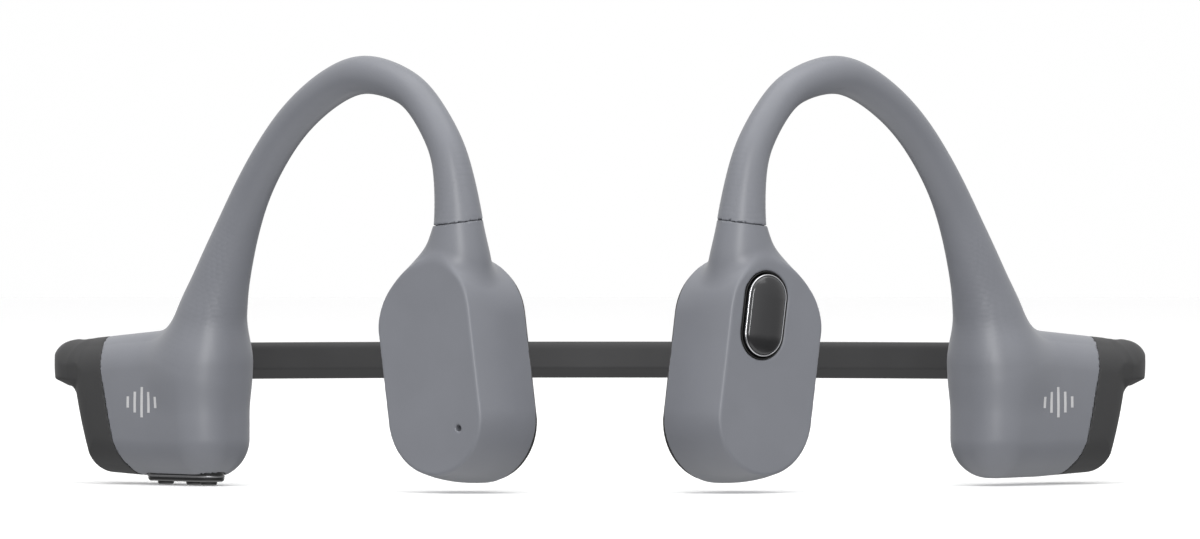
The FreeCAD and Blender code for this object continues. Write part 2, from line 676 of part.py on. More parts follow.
def main():
    os.makedirs("parts", exist_ok=True)
    nodes = {**single_nodes(), **side_nodes("left"), **side_nodes("right")}
    box = FreeCAD.BoundBox()
    for name, solid in sorted(nodes.items()):
        box.add(solid.BoundBox)
        state = "ok" if solid.isValid() and solid.Volume > 0 else "BAD"
        print(f"{name:28s} {state} solids {len(solid.Solids)} volume {solid.Volume:9.2f}")
        solid.exportStep(f"parts/{name}.step")
    print("box", [round(v, 2) for v in (box.XMin, box.XMax, box.YMin, box.YMax, box.ZMin, box.ZMax)])
    print("reference", json.dumps(reference()))


main()
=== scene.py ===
"""Looks for the bone conduction headphones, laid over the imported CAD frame.

Shapes are worked out in millimetres in side coordinates, as in the CAD: u runs forward along a side,
n outward and z up. The left side is drawn, and the right side is its mirror image.
"""
import math
import bpy
import numpy as np
from itertools import product
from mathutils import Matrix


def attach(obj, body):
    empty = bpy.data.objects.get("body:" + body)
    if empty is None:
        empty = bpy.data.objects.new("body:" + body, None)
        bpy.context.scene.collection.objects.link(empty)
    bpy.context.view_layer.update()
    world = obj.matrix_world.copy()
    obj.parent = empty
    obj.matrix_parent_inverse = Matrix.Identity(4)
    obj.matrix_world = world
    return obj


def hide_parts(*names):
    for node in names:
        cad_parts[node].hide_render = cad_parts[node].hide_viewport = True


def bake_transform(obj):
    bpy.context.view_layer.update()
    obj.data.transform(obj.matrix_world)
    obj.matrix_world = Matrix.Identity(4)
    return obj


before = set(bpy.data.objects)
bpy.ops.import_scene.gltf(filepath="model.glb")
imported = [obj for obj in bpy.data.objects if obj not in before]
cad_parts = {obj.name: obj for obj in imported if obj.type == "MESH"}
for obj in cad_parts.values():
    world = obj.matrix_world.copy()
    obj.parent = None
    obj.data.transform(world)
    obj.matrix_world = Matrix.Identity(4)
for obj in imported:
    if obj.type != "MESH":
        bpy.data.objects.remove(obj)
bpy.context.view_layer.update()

MM = 0.001
SIDES = ("left", "right")

# ---- sizes that the CAD gives, in millimetres ----------------------------------------------------
SIDE_TURN = math.radians(45)
SIDE_AT = np.array([50.65, -8.0, 0.0])
# The band's centreline as arcs: the turn in degrees from, the turn to, and the radius.
BAND_SPANS = ((0.0, 25.0, 90.0), (25.0, 50.0, 50.0), (50.0, 90.0, 31.8), (90.0, 135.0, 10.7))
BAND_BACK_Y = 47.65
BAND_Z = 13.8
BAND_HIGH, STUB_HIGH, BAND_THICK = 4.45, 5.0, 2.7
POD_OUTLINE = ((-14.0, 16.7), (12.1, 18.75), (12.1, 0.8), (1.0, 0.9), (-9.9, 1.35))
POD_THICK, POD_EDGE, POD_CORNER = 10.0, 4.4, 4.6
SEAM_TOP, SEAM_FOOT = (-6.6, 17.5), (-2.2, 0.0)
# The ear hook's points: u, z and thickness.
HOOK = ((6.6, 13.5, 9.3), (8.1, 18.5, 8.4), (9.5, 22.3, 7.0), (11.1, 26.0, 5.9), (13.2, 30.2, 4.9),
        (16.2, 35.1, 4.25), (20.7, 40.3, 4.1), (25.3, 43.8, 4.2), (29.8, 46.0, 4.3), (34.6, 46.85, 4.3),
        (39.9, 45.7, 3.95), (43.5, 43.5, 3.8), (46.6, 39.8, 3.95), (48.4, 35.8, 4.4), (49.3, 30.6, 5.4),
        (49.35, 27.0, 6.2))
HOOK_JOINT_FROM, HOOK_JOINT_TO, HOOK_TOP_Z = 30.5, 38.5, 46.8
NECK_SEAM_U, NECK_SEAM_Z, NECK_SEAM_RISE, NECK_SIDE_U = 49.35, 30.1, 0.09, 30
EAR_U, EAR_Z = 48.0, 13.6
EAR_TILT, EAR_YAW = math.radians(8.1), math.radians(9.0)
FACE_RADIUS, FACE_HALF, FACE_N = 6.4, 5.2, 3.6
FACE_SHIFT = -0.35
RIM_RADIUS, RIM_HALF = 7.4, 5.25
BACK_N, PAD_N = -5.2, -6.8
PAD_RADIUS, PAD_HALF = 6.8, 5.7
# The neck's sections: u, z, width along u, width along n, and n of the middle.
NECK = ((49.35, 31.6, 5.2, 5.2, 0.0), (49.35, 30.2, 5.55, 5.45, 0.0), (48.95, 27.7, 7.2, 6.5, -0.2),
        (48.25, 25.2, 9.0, 7.6, -0.5), (47.6, 22.6, 8.9, 7.3, -0.75), (47.1, 19.6, 6.4, 4.8, -0.8),
        (46.8, 17.0, 3.6, 2.4, -0.8))
KEY_U, KEY_Z, KEY_WIDE, KEY_HIGH = 48.6, 19.8, 5.2, 9.2
RECESS_N, RECESS_ROOM = 2.0, 0.36
MIC_U, MIC_Z, MIC_RADIUS = 51.8, 7.3, 0.34
PLATE_U, PLATE_WIDE, PLATE_LONG, PLATE_LOW = 4.0, 3.6, 11.4, 0.45
# The keys on the strip: u and length.
SMALL_KEYS = {"volume_up_button": (7.85, 2.1), "volume_down_button": (5.5, 2.1), "mode_button": (0.5, 1.6)}
PORT_U, PORT_Z, PORT_LONG, PORT_HIGH, PORT_DEEP = 2.0, 9.2, 10.4, 4.2, 1.2

# ---- finer sizes that only the looks need, in millimetres and degrees of the band's turn -----------
POD_CROWN, POD_CROWN_Z = 0.011, 9.0
HOOK_FLOW = 3.0
# The boot's seam bows backwards above each height, by this share of the square of the rise.
SEAM_BOWS = ((10.0, 0.012), (14.3, 0.16))
SEAM_GAP, SEAM_ROUND = 0.03, 0.16
NECK_GAP, NECK_ROUND = 0.006, 0.04
BOOT_CORNER, BOOT_FROM = 2.8, 70.0
# Spans of the band's turn near the pod: start and length.
SWELL_SPAN, RISE_SPAN, LIFT_SPAN, ENTRY_SPAN, SINK_SPAN = (72, 16), (78, 20), (92, 25), (93, 38), (130, 11)
SWELL_OUT, LIFT, LIFT_HIGH, ENTRY_THICK, SINK = 0.22, 0.22, 0.5, 1.3, 2.2
BAND_CUTS = (12.0, 37.5, BOOT_FROM)
BAND_BENDS = (25.0, 50.0)
SHELL_EDGE, SHELL_BACK_ROUND, FACE_BLEND = 0.32, 0.2, 0.25
SHELL_FLARE = 2.6
PAD_ROUND = 1.15
PRINT_U, PRINT_Z, PRINT_PITCH = 1.9, 9.6, 1.2
PRINT_HIGHS = (1.3, 2.4, 3.5, 2.4, 1.3)
PRINT_ACROSS = (-0.22, -0.11, 0, 0.11, 0.22)
PRINT_ROWS = 13
GRID, FINE_GRID = 0.3, 0.25

# ---- camera and light, in metres and watts ---------------------------------------------------------
CAMERA_AT, CAMERA_LENS = (0.0, -0.898, 0.0249), 230.3
# The lamps: name, place, aim, size and power.
LAMPS = (("overhead", (0, -0.15, 1.1), (0, 0, 0), (1.4, 1.0), 6.5),
         ("front_strip", (0, -1.3, 0.3), (0, 0, 0.02), (0.2, 0.9), 8),
         ("front_left", (-0.9, -0.65, 1.05), (0, 0, 0.02), (0.5, 0.7), 1.15),
         ("front_right", (0.9, -0.65, 1.05), (0, 0, 0.02), (0.5, 0.7), 1.15))
# The room's greys from straight down, 0, to the horizon, 0.5.
SKY_STEPS = ((0.12, 1.0), (0.26, 0.24), (0.4, 0.3))
SKY_TOP, SKY_SIDE_DIM = 0.495, 0.4


# ---- placing -------------------------------------------------------------------------------------
def side_axes(side):
    """The rows of side coordinates' axes in the frame, and their origin in millimetres."""
    s, c = math.sin(SIDE_TURN), math.cos(SIDE_TURN)
    k = 1 if side == "left" else -1
    return np.array([[-s * k, -c, 0], [c * k, -s, 0], [0, 0, 1]]), SIDE_AT * (k, 1, 1)


def from_side(points, side):
    """Side coordinates in millimetres to the frame in metres."""
    axes, at = side_axes(side)
    return (np.asarray(points, float) @ axes + at) * MM


def plan_to_side(points):
    """Left-side points of the frame, in millimetres, to side coordinates."""
    axes, at = side_axes("left")
    return (np.asarray(points, float) - at) @ axes.T


def from_ear(points):
    """The transducer's own plane to side coordinates."""
    u, n, z = np.moveaxis(np.asarray(points, float), -1, 0)
    s, c = math.sin(EAR_YAW), math.cos(EAR_YAW)
    return np.stack([EAR_U + (u - EAR_U) * c + n * s, n * c - (u - EAR_U) * s, z], -1)


def to_ear(points):
    """Side coordinates to the transducer's own plane."""
    u, n, z = points.T
    s, c = math.sin(EAR_YAW), math.cos(EAR_YAW)
    return np.stack([EAR_U + (u - EAR_U) * c - n * s, n * c + (u - EAR_U) * s, z], -1)


# ---- distance fields -----------------------------------------------------------------------------
def merge(a, b, soft):
    """The union of two fields with a rounded valley between them."""
    h = np.clip(0.5 + 0.5 * (b - a) / soft, 0, 1)
    return b + (a - b) * h - soft * h * (1 - h)


def common(a, b, soft):
    """What two fields share, with a rounded edge."""
    return -merge(-a, -b, soft)


def rounded_slab(outline, across, half, edge):
    """An outline given thickness, with its edges rounded."""
    q = np.stack([outline + edge, np.abs(across) - half + edge])
    return np.minimum(q.max(0), 0) + np.hypot(*np.maximum(q, 0)) - edge


def slot_distance(x, z, centre, radius, half, tilt, full=2.0, lean=2.0):
    """Distance to a slot outline whose long axis leans back by tilt.

    The upper end is squarer in front where full is above 2, and slimmer behind where lean is below 2.
    """
    dx, dz = x - centre[0], z - centre[1]
    along = -dx * math.sin(tilt) + dz * math.cos(tilt)
    across = dx * math.cos(tilt) + dz * math.sin(tilt)
    past = np.maximum(np.abs(along) - half, 0)
    power = np.where(along > 0, np.where(across > 0, full, lean), 2.0)
    return (np.abs(across) ** power + past ** power) ** (1 / power) - radius


def polygon_distance(x, z, corners, radius):
    """Distance to a convex outline, given clockwise, with rounded corners."""
    rings = np.array(corners, float)
    ahead = np.roll(rings, -1, 0) - rings
    ahead /= np.linalg.norm(ahead, axis=1)[:, None]
    normal = np.stack([-ahead[:, 1], ahead[:, 0]], 1)
    offset = (rings * normal).sum(1) - radius
    inner = []
    for i in range(len(rings)):
        pair = np.array([normal[i - 1], normal[i]])
        inner.append(np.linalg.solve(pair, [offset[i - 1], offset[i]]))
    inner = np.array(inner)
    inside = np.max([x * a + z * b - c for (a, b), c in zip(normal, offset)], axis=0)
    outside = np.full_like(x, 1e9)
    for a, b in zip(inner, np.roll(inner, -1, 0)):
        run = b - a
        t = np.clip(((x - a[0]) * run[0] + (z - a[1]) * run[1]) / (run @ run), 0, 1)
        outside = np.minimum(outside, np.hypot(x - a[0] - t * run[0], z - a[1] - t * run[1]))
    return np.where(inside > 0, outside, inside) - radius


def smooth_curve(points, count):
    """An evenly divided smooth curve through the points."""
    points = np.array(points, float)
    size = len(points)
    system = np.zeros((size, size))
    for i in range(1, size - 1):
        system[i, i - 1:i + 2] = 1 / 6, 4 / 6, 1 / 6
    system[0, 0] = system[-1, -1] = 1
    poles = np.linalg.solve(system, points)
    poles = np.vstack([2 * poles[0] - poles[1], poles, 2 * poles[-1] - poles[-2]])
    t = np.linspace(0, size - 1 - 1e-9, count * 4)
    i, f = t.astype(int), (t % 1)[:, None]
    dense = (poles[i] * (1 - f) ** 3 + poles[i + 1] * (3 * f ** 3 - 6 * f ** 2 + 4)
             + poles[i + 2] * (-3 * f ** 3 + 3 * f ** 2 + 3 * f + 1) + poles[i + 3] * f ** 3) / 6
    run = np.concatenate([[0], np.cumsum(np.linalg.norm(np.diff(dense[:, :2], axis=0), axis=1))])
    even = np.linspace(0, run[-1], count)
    return np.stack([np.interp(even, run, dense[:, k]) for k in range(dense.shape[1])], 1)


HOOK_LINE = smooth_curve(HOOK, 130)


def hook_field(p):
    """The round bar of the ear hook, with its changing thickness."""
    a, b = HOOK_LINE[:-1], HOOK_LINE[1:]
    run = b[:, :2] - a[:, :2]
    length = (run ** 2).sum(1)
    out = np.empty(len(p))
    for first in range(0, len(p), 20000):
        q = p[first:first + 20000]
        dx, dz = q[:, None, 0] - a[:, 0], q[:, None, 2] - a[:, 1]
        t = np.clip((dx * run[:, 0] + dz * run[:, 1]) / length, 0, 1)
        gap = (dx - t * run[:, 0]) ** 2 + (dz - t * run[:, 1]) ** 2 + q[:, None, 1] ** 2
        radius = (a[:, 2] + t * (b[:, 2] - a[:, 2])) / 2
        out[first:first + 20000] = (np.sqrt(gap) - radius).min(1)
    return out


def pod_field(p, corner=POD_CORNER):
    """The pod, with its outer face a little crowned from top to bottom."""
    outline = polygon_distance(p[:, 0], p[:, 2], POD_OUTLINE, corner)
    crown = POD_CROWN * (p[:, 2] - POD_CROWN_Z) ** 2 * np.clip(p[:, 1] / 3, 0, 1)
    return rounded_slab(outline, p[:, 1] + crown, POD_THICK / 2, POD_EDGE)


def seam_field(p):
    """Negative in front of the seam between the skin and the boot."""
    run = np.subtract(SEAM_TOP, SEAM_FOOT)
    run = run / np.linalg.norm(run)
    bow = sum(share * np.maximum(p[:, 2] - start, 0) ** 2 for start, share in SEAM_BOWS)
    return -((p[:, 0] + bow - SEAM_FOOT[0]) * run[1] - (p[:, 2] - SEAM_FOOT[1]) * run[0])


def skin_field(side):
    """The pod in front of the seam and the hook up to the neck, with the right pod's two pockets."""
    def field(p):
        body = merge(pod_field(p), hook_field(p), HOOK_FLOW)
        body = common(body, seam_field(p) + SEAM_GAP, SEAM_ROUND)
        body = common(body, neck_seam_field(p), NECK_ROUND)
        if side == "right":
            body = common(body, -port_pocket(p), 0.4)
            body = common(body, -strip_pocket(p), 0.3)
        return body
    return field


def neck_seam_height(p):
    """The fine seam across the neck rises a little forwards."""
    return NECK_SEAM_Z + NECK_SEAM_RISE * (p[:, 0] - p[:, 1] - NECK_SEAM_U)


def neck_seam_field(p):
    """Negative above the fine seam across the neck, and never negative round the pod."""
    return np.where(p[:, 0] > NECK_SIDE_U, neck_seam_height(p) + NECK_GAP - p[:, 2], -9.0)


def port_pocket(p):
    """The recess for the charging port on the pod's inner face."""
    half = (PORT_LONG - PORT_HIGH) / 2
    outline = slot_distance(p[:, 0], p[:, 2], (PORT_U, PORT_Z), PORT_HIGH / 2 + 0.02, half, math.radians(90))
    return np.maximum(outline, p[:, 1] + POD_THICK / 2 - PORT_DEEP)


def strip_pocket(p):
    """The recess for the button strip under the pod."""
    half = (PLATE_LONG - PLATE_WIDE) / 2
    outline = slot_distance(p[:, 0], p[:, 1], (PLATE_U, 0), PLATE_WIDE / 2 + 0.06, half, math.radians(90))
    return np.maximum(outline, p[:, 2] - 2.2)


def band_place(turn):
    """Plan position on the left half of the band's centreline where its heading has turned this far."""
    x, y = 0.0, BAND_BACK_Y
    for start, end, radius in BAND_SPANS:
        stop = min(turn, end)
        if stop > start:
            a, b = math.radians(start), math.radians(stop)
            x += radius * (math.sin(b) - math.sin(a))
            y += radius * (math.cos(b) - math.cos(a))
    return np.array([x, y])


def along_band(turn, span):
    """Runs from 0 to 1 while the band turns through a span, given as its start and its length."""
    start, over = span
    return np.clip((turn - start) / over, 0, 1)


def band_profile_field(out, up, high, swell=0.0, extra=0.0):
    """The band's section: round outside and on top, flat towards the neck, cut back under its inner edge.

    Where it swells to meet the pod its outer top edge grows rounder and its outer lower edge is cut back
    too, and then it thickens outwards until it is flush with the pod's face.
    """
    edge, belly_reach, facet_high, facet_slope = 0.75, 2.2, 1.2, 0.95
    r, h = (BAND_THICK + extra) / 2, high / 2
    out = out - extra / 2
    box = rounded_slab(np.abs(up) - h, out, r, edge)
    belly = np.hypot(np.maximum(out + belly_reach, 0), up * 0.62) - (r + belly_reach)
    facet = (-(out + r) * facet_slope - (up + h - facet_high)) / math.hypot(facet_slope, 1)
    body = common(common(box, belly, 0.5), facet, 0.08)
    bevel = ((out - r) * 0.95 - (up + h - 0.95) * 1.9) / math.hypot(0.95, 1.9) - 1.2 * (1 - swell)
    bend = edge + 1.6 * swell + extra * extra
    crown = np.hypot(np.maximum(out - r + bend, 0), np.maximum(up - h + bend, 0)) - bend
    return common(np.maximum(body, crown), bevel, 0.12)


def stub_height(turn):
    """The band grows a little taller as it nears the pod."""
    grown = BAND_HIGH + (STUB_HIGH - BAND_HIGH) * along_band(turn, RISE_SPAN)
    return grown + LIFT_HIGH * along_band(turn, LIFT_SPAN)


def band_field(p):
    """The band from its last third into the stub, in the frame's millimetres on the left side."""
    best = np.full(len(p), 1e9)
    for start, end, radius in BAND_SPANS[2:]:
        a = math.radians(start)
        centre = band_place(start) - radius * np.array([math.sin(a), math.cos(a)])
        dx, dy = p[:, 0] - centre[0], p[:, 1] - centre[1]
        turn = np.degrees(np.arctan2(dx, dy))
        turn = np.where(turn < -90, turn + 360, turn)
        within = (turn >= start - 1e-6) & (turn <= end + 6)
        swell = along_band(turn, SWELL_SPAN)
        out = np.hypot(dx, dy) - radius - SWELL_OUT * swell
        up = p[:, 2] - BAND_Z - LIFT * along_band(turn, LIFT_SPAN)
        entry, sunk = along_band(turn, ENTRY_SPAN), along_band(turn, SINK_SPAN)
        extra = ENTRY_THICK * entry * entry * (3 - 2 * entry)
        d = band_profile_field(out, up, stub_height(turn), swell, extra) + SINK * sunk * sunk
        best = np.where(within & (d < best), d, best)
    return best


def boot_field(p):
    """The pod behind the seam, with the band's last stretch flowing into it."""
    axes, at = side_axes("left")
    world = p @ axes + at
    flow = np.interp(p[:, 2], (14.0, 16.9), (1.4, 0.4))
    body = merge(pod_field(p, BOOT_CORNER), band_field(world), flow)
    body = common(body, -seam_field(p) + SEAM_GAP, SEAM_ROUND)
    a = math.radians(BOOT_FROM)
    x, y = band_place(BOOT_FROM)
    start = -((world[:, 0] - x) * math.cos(a) - (world[:, 1] - y) * math.sin(a))
    return np.maximum(body, start)


def housing_field(side):
    """The transducer's shell with its neck, and its button recess or its microphone hole."""
    run = smooth_curve([(z, u, across, thick, n) for u, z, across, thick, n in NECK[::-1]], 60)

    def field(p):
        q = to_ear(p)
        share = np.clip((FACE_N - q[:, 1]) / (FACE_N - BACK_N), 0, 1)
        share = 1 - (1 - share) ** SHELL_FLARE
        radius = FACE_RADIUS + (RIM_RADIUS - FACE_RADIUS) * share
        half = FACE_HALF + (RIM_HALF - FACE_HALF) * share
        shift = FACE_SHIFT * (1 - share)
        outline = slot_distance(q[:, 0] - shift, q[:, 2], (EAR_U, EAR_Z), radius, half, EAR_TILT,
                                2.1 + 0.9 * (1 - share), 1.8)
        front = q[:, 1] - FACE_N
        pair = np.stack([outline + SHELL_EDGE, front + SHELL_EDGE])
        shell = np.minimum(pair.max(0), 0) + np.hypot(*np.maximum(pair, 0)) - SHELL_EDGE
        shell = common(shell, BACK_N - q[:, 1], SHELL_BACK_ROUND)
        centre, across, thick, middle = (np.interp(p[:, 2], run[:, 0], run[:, k]) for k in (1, 2, 3, 4))
        du, dn = p[:, 0] - centre, p[:, 1] - middle
        ratio = np.maximum(np.hypot(du / across * 2, dn / thick * 2), 1e-3)
        neck = np.hypot(du, dn) * (1 - 1 / ratio)
        neck = np.maximum(neck, run[0, 0] - p[:, 2])
        flow = np.interp(q[:, 0], (EAR_U - 4, EAR_U + 4), (3.0, 1.3))
        body = common(merge(shell, neck, flow), front, FACE_BLEND)
        body = common(body, p[:, 2] - neck_seam_height(p) + NECK_GAP, NECK_ROUND)
        if side == "left":
            recess = slot_distance(q[:, 0], q[:, 2], (KEY_U, KEY_Z), KEY_WIDE / 2 + RECESS_ROOM,
                                   (KEY_HIGH - KEY_WIDE) / 2, EAR_TILT)
            return common(body, -np.maximum(recess, RECESS_N - q[:, 1]), 0.3)
        hole = np.hypot(q[:, 0] - MIC_U, q[:, 2] - MIC_Z) - MIC_RADIUS
        return common(body, -np.maximum(hole, RECESS_N - q[:, 1]), 0.12)
    return field


# ---- meshing -------------------------------------------------------------------------------------
def field_mesh(field, low, high, step):
    """Meshes the zero surface of a field, settles its points on it, and returns points, faces and normals."""
    block = 6
    low = np.array(low, float)
    blocks = np.ceil((np.array(high) - low) / (step * block)).astype(int)
    count = blocks * block + 1
    middles = [(np.arange(b) + 0.5) * block * step for b in blocks]
    centres = np.stack(np.meshgrid(*middles, indexing="ij"), -1) + low
    rough = field(centres.reshape(-1, 3)).reshape(blocks)
    near = np.abs(rough) < block * step * 1.15
    values = np.ones(count)
    body = np.repeat(np.repeat(np.repeat(rough, block, 0), block, 1), block, 2)
    values[:-1, :-1, :-1] = body
    mark = np.zeros(count, bool)
    for i, j, k in np.argwhere(near) * block:
        mark[i:i + block + 1, j:j + block + 1, k:k + block + 1] = True
    values[mark] = field(np.argwhere(mark) * step + low)
    inside = values < 0
    corners = np.stack([inside[i:count[0] - 1 + i, j:count[1] - 1 + j, k:count[2] - 1 + k]
                        for i, j, k in product((0, 1), repeat=3)])
    mixed = corners.any(0) & ~corners.all(0)
    cells = np.argwhere(mixed)
    number = np.full(mixed.shape, -1)
    number[mixed] = np.arange(len(cells))
    total, hits = np.zeros((len(cells), 3)), np.zeros(len(cells))
    for axis in range(3):
        others = [k for k in range(3) if k != axis]
        for a, b in product((0, 1), repeat=2):
            start = cells.copy()
            start[:, others[0]] += a
            start[:, others[1]] += b
            end = start.copy()
            end[:, axis] += 1
            va, vb = values[tuple(start.T)], values[tuple(end.T)]
            cross = (va < 0) != (vb < 0)
            t = np.where(cross, va / np.where(cross, va - vb, 1), 0)
            point = start.astype(float)
            point[:, axis] += t
            total += point * cross[:, None]
            hits += cross
    points = total / hits[:, None] * step + low
    faces = []
    for axis in range(3):
        a, b = [(1, 2), (2, 0), (0, 1)][axis]
        lower = inside
        upper = np.roll(inside, -1, axis)
        change = lower != upper
        index = [slice(1, c - 1) for c in count]
        index[axis] = slice(0, count[axis] - 1)
        at = np.argwhere(change[tuple(index)]) + [0 if k == axis else 1 for k in range(3)]
        quad = []
        for da, db in ((0, 0), (-1, 0), (-1, -1), (0, -1)):
            cell = at.copy()
            cell[:, a] += da
            cell[:, b] += db
            quad.append(number[tuple(cell.T)])
        quad = np.stack(quad, 1)
        flip = ~lower[tuple(at.T)]
        quad[flip] = quad[flip][:, ::-1]
        faces.append(quad)
    faces = np.concatenate(faces)
    faces = faces[(faces >= 0).all(1)]
    edges = np.concatenate([faces[:, [0, 1]], faces[:, [1, 2]], faces[:, [2, 3]], faces[:, [3, 0]]])
    for _ in range(3):
        spread, links = np.zeros_like(points), np.zeros(len(points))
        for a, b in (edges.T, edges[:, ::-1].T):
            for k in range(3):
                spread[:, k] += np.bincount(a, points[b, k], len(points))
            links += np.bincount(a, minlength=len(points))
        points = 0.5 * points + 0.5 * spread / links[:, None]
        points = settle(field, points, step, 1)
    points = settle(field, points, step, 2)
    return points, faces, slope(field, points, 0.03)


def slope(field, points, reach):
    """The field's outward direction at each point."""
    grad = np.empty_like(points)
    for k in range(3):
        shift = np.zeros(3)
        shift[k] = reach
        grad[:, k] = (field(points + shift) - field(points - shift)) / (2 * reach)
    return grad / np.maximum(np.linalg.norm(grad, axis=1), 1e-9)[:, None]


def settle(field, points, step, rounds):
    """Moves points onto the field's zero surface."""
    for _ in range(rounds):
        move = np.clip(field(points), -step, step)
        points = points - slope(field, points, 0.05) * move[:, None] * 0.9
    return points


def make_object(name, points, faces, side, material, body, normals=None):
    """A smooth mesh from side coordinates, riding on a body."""
    placed = from_side(points, side)
    faces = np.asarray(faces)
    if side == "right":
        faces = faces[:, ::-1]
    mesh = bpy.data.meshes.new(name)
    mesh.from_pydata(placed.tolist(), [], faces.tolist())
    mesh.shade_smooth()
    mesh.update()
    if normals is not None:
        axes, _ = side_axes(side)
        mesh.normals_split_custom_set_from_vertices((normals @ axes).tolist())
    mesh.materials.append(material)
    piece = bpy.data.objects.new(name, mesh)
    bpy.context.collection.objects.link(piece)
    if body:
        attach(piece, body)
    return piece


def slot_rings(centre, profile, tilt, high_more, count=64, place=from_ear):
    """Rings of one slot outline, (radius, n) from first to last, joined and closed at the end of the list."""
    turns = np.linspace(0, 2 * math.pi, count, endpoint=False)
    points, faces = [], []
    for radius, n in profile:
        across, along = radius * np.cos(turns), radius * np.sin(turns)
        along = along + np.where(np.sin(turns) >= 0, high_more, -high_more)
        u = centre[0] + across * math.cos(tilt) - along * math.sin(tilt)
        z = centre[1] + across * math.sin(tilt) + along * math.cos(tilt)
        points.append(np.stack([u, np.full(count, n), z], 1))
    for ring in range(len(profile) - 1):
        for i in range(count):
            j = (i + 1) % count
            a, b = ring * count, (ring + 1) * count
            faces.append([a + i, b + i, b + j, a + j])
    last = (len(profile) - 1) * count
    half = count // 2
    for i in range(half // 2):
        for start in (0, half):
            a, b = start + i, start + half - i
            faces.append([last + a, last + b % count, last + b - 1, last + a + 1])
    return place(np.concatenate(points)), faces


# ---- materials -----------------------------------------------------------------------------------
def material(name, colour, roughness, grain, tint, metallic=0.0, coat=0.0, specular=0.5, scratch=None):
    """A moulded or metal surface: a faint drift of colour and gloss, and a fine grain."""
    made = bpy.data.materials.new(name)
    made.use_nodes = True
    nodes, links = made.node_tree.nodes, made.node_tree.links
    shader = nodes["Principled BSDF"]
    shader.inputs["Metallic"].default_value = metallic
    shader.inputs["Coat Weight"].default_value = coat
    shader.inputs["Coat Roughness"].default_value = 0.08
    shader.inputs["Specular IOR Level"].default_value = specular
    where = nodes.new("ShaderNodeTexCoord")
    drift = nodes.new("ShaderNodeTexNoise")
    drift.inputs["Scale"].default_value = 160
    drift.inputs["Detail"].default_value = 5
    links.new(where.outputs["Object"], drift.inputs["Vector"])
    ramp = nodes.new("ShaderNodeValToRGB")
    dark = [c * (1 - tint) for c in colour]
    light = [min(1, c * (1 + tint)) for c in colour]
    ramp.color_ramp.elements[0].position, ramp.color_ramp.elements[1].position = 0.3, 0.7
    ramp.color_ramp.elements[0].color = (*dark, 1)
    ramp.color_ramp.elements[1].color = (*light, 1)
    links.new(drift.outputs["Fac"], ramp.inputs["Fac"])
    links.new(ramp.outputs["Color"], shader.inputs["Base Color"])
    gloss = nodes.new("ShaderNodeMapRange")
    gloss.inputs["To Min"].default_value = roughness * 0.93
    gloss.inputs["To Max"].default_value = roughness * 1.07
    links.new(drift.outputs["Fac"], gloss.inputs["Value"])
    links.new(gloss.outputs["Result"], shader.inputs["Roughness"])
    height = None
    if grain:
        size, depth = grain
        fine = nodes.new("ShaderNodeTexNoise")
        fine.inputs["Scale"].default_value = 1 / (size * MM)
        fine.inputs["Detail"].default_value = 3
        links.new(where.outputs["Object"], fine.inputs["Vector"])
        height = fine.outputs["Fac"]
    if scratch:
        stretch = nodes.new("ShaderNodeMapping")
        stretch.inputs["Scale"].default_value = scratch
        fine = nodes.new("ShaderNodeTexNoise")
        fine.inputs["Scale"].default_value = 1
        fine.inputs["Detail"].default_value = 4
        links.new(where.outputs["Object"], stretch.inputs["Vector"])
        links.new(stretch.outputs["Vector"], fine.inputs["Vector"])
        height, depth = fine.outputs["Fac"], 0.01
    if height:
        bump = nodes.new("ShaderNodeBump")
        bump.inputs["Strength"].default_value = 0.5
        bump.inputs["Distance"].default_value = depth * MM
        links.new(height, bump.inputs["Height"])
        links.new(bump.outputs["Normal"], shader.inputs["Normal"])
    return made


SKIN = material("grey_silicone", (0.19, 0.197, 0.22), 0.4, (0.11, 0.012), 0.03)
SHELL = material("grey_shell", (0.19, 0.197, 0.22), 0.4, (0.11, 0.011), 0.03)
DARK = material("dark_silicone", (0.048, 0.048, 0.049), 0.55, (0.1, 0.012), 0.05, specular=0.2)
PAD = material("pad_silicone", (0.012, 0.012, 0.013), 0.55, (0.09, 0.014), 0.06, specular=0.4)
SEAL = material("seal_rubber", (0.006, 0.006, 0.006), 0.7, (0.08, 0.01), 0.05)
GLOSS = material("gloss_black", (0.012, 0.012, 0.013), 0.16, (1.5, 0.002), 0.05, coat=0.6)
CAP = material("button_gloss", (0.03, 0.03, 0.032), 0.2, (1.2, 0.002), 0.06, metallic=0.5, coat=0.7)
CHROME = material("bright_rim", (0.72, 0.72, 0.74), 0.16, None, 0.03, metallic=1.0, scratch=(900, 900, 9000))
METAL = material("plain_steel", (0.55, 0.55, 0.56), 0.32, None, 0.04, metallic=1.0, scratch=(800, 7000, 800))
WIRE = material("titanium", (0.42, 0.4, 0.38), 0.3, None, 0.05, metallic=1.0, scratch=(6000, 600, 600))
GOLD = material("gold_plate", (0.83, 0.6, 0.25), 0.2, (0.3, 0.003), 0.05, metallic=1.0)
COPPER = material("copper_wire", (0.6, 0.25, 0.12), 0.3, None, 0.08, metallic=1.0, scratch=(500, 500, 12000))
NICKEL = material("nickel_plate", (0.62, 0.6, 0.57), 0.18, (0.4, 0.003), 0.03, metallic=1.0)
PLASTIC = material("black_plastic", (0.02, 0.02, 0.021), 0.45, (0.15, 0.01), 0.06)
FOIL = material("battery_foil", (0.4, 0.41, 0.43), 0.35, (0.8, 0.03), 0.06, metallic=0.7)
BOARD = material("circuit_board", (0.012, 0.09, 0.035), 0.35, (0.5, 0.006), 0.1)
EDGE = material("strip_metal", (0.3, 0.3, 0.31), 0.35, None, 0.03, metallic=1.0)
PRINT = material("pale_print", (0.55, 0.55, 0.56), 0.5, (0.2, 0.004), 0.03)

